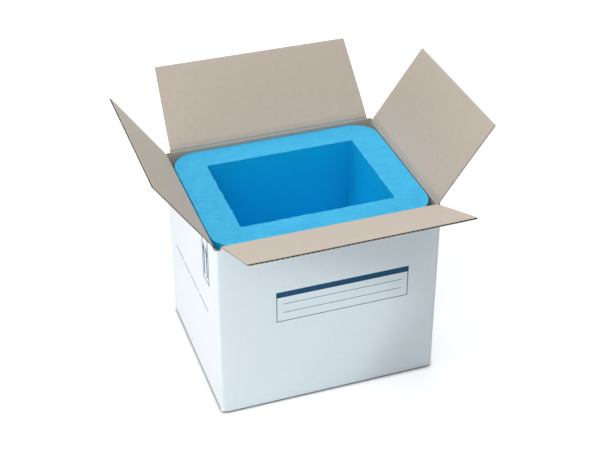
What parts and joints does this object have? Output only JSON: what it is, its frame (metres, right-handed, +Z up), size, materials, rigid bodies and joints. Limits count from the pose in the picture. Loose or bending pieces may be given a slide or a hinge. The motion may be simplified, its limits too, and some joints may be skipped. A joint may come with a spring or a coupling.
{
  "type": "specimen transport box",
  "caption": "Insulated shipping box: white corrugated carton with open hinged top flaps round a removable rigid foam body with a deep payload cavity.",
  "frame": {"origin": "on the ground under the middle of the carton, on the underside of the bottom tape", "axes": "+X along the long front wall to the right, +Y to the back wall, +Z up out of the box"},
  "size_m": [0.5581, 0.5689, 0.46],
  "materials": {
    "white_liner": "matte",
    "kraft_liner": "matte",
    "fluting": "matte",
    "board_core": "matte",
    "blue_foam": "matte",
    "clear_tape": "gloss"
  },
  "bodies": {
    "carton": {"front_wall_outer_liner": "white_liner", "front_wall_medium": "board_core", "front_wall_inner_liner": "kraft_liner", "right_wall_outer_liner": "white_liner", "right_wall_medium": "board_core", "right_wall_inner_liner": "kraft_liner", "back_wall_outer_liner": "white_liner", "back_wall_medium": "board_core", "back_wall_inner_liner": "kraft_liner", "left_wall_outer_liner": "white_liner", "left_wall_medium": "board_core", "left_wall_inner_liner": "kraft_liner", "front_bottom_flap_outer_liner": "white_liner", "front_bottom_flap_medium": "board_core", "front_bottom_flap_inner_liner": "kraft_liner", "right_bottom_flap_outer_liner": "white_liner", "right_bottom_flap_medium": "board_core", "right_bottom_flap_inner_liner": "kraft_liner", "back_bottom_flap_outer_liner": "white_liner", "back_bottom_flap_medium": "board_core", "back_bottom_flap_inner_liner": "kraft_liner", "left_bottom_flap_outer_liner": "white_liner", "left_bottom_flap_medium": "board_core", "left_bottom_flap_inner_liner": "kraft_liner", "glue_tab": "kraft_liner", "bottom_tape": "clear_tape"},
    "front_flap": {"front_flap_outer_liner": "white_liner", "front_flap_fluting": "fluting", "front_flap_inner_liner": "kraft_liner"},
    "right_flap": {"right_flap_outer_liner": "white_liner", "right_flap_fluting": "fluting", "right_flap_inner_liner": "kraft_liner"},
    "back_flap": {"back_flap_outer_liner": "white_liner", "back_flap_fluting": "fluting", "back_flap_inner_liner": "kraft_liner"},
    "left_flap": {"left_flap_outer_liner": "white_liner", "left_flap_fluting": "fluting", "left_flap_inner_liner": "kraft_liner"},
    "foam": {"foam_body": "blue_foam"}
  },
  "joints": [
    {"name": "front_flap_hinge", "type": "hinge", "parent": "carton", "child": "front_flap", "pos_m": [0, -0.1545, 0.3355], "axis": [1, 0, 0], "range_deg": [-156, 106]},
    {"name": "right_flap_hinge", "type": "hinge", "parent": "carton", "child": "right_flap", "pos_m": [0.19, 0, 0.3316], "axis": [0, 1, 0], "range_deg": [-125.5, 136.5]},
    {"name": "back_flap_hinge", "type": "hinge", "parent": "carton", "child": "back_flap", "pos_m": [0, 0.1545, 0.3355], "axis": [-1, 0, 0], "range_deg": [-140.5, 121.5]},
    {"name": "left_flap_hinge", "type": "hinge", "parent": "carton", "child": "left_flap", "pos_m": [-0.19, 0, 0.3316], "axis": [0, -1, 0], "range_deg": [-125, 137]},
    {"name": "foam_lift", "type": "slide", "parent": "carton", "child": "foam", "axis": [0, 0, 1], "range_m": [0, 0.34]}
  ]
}
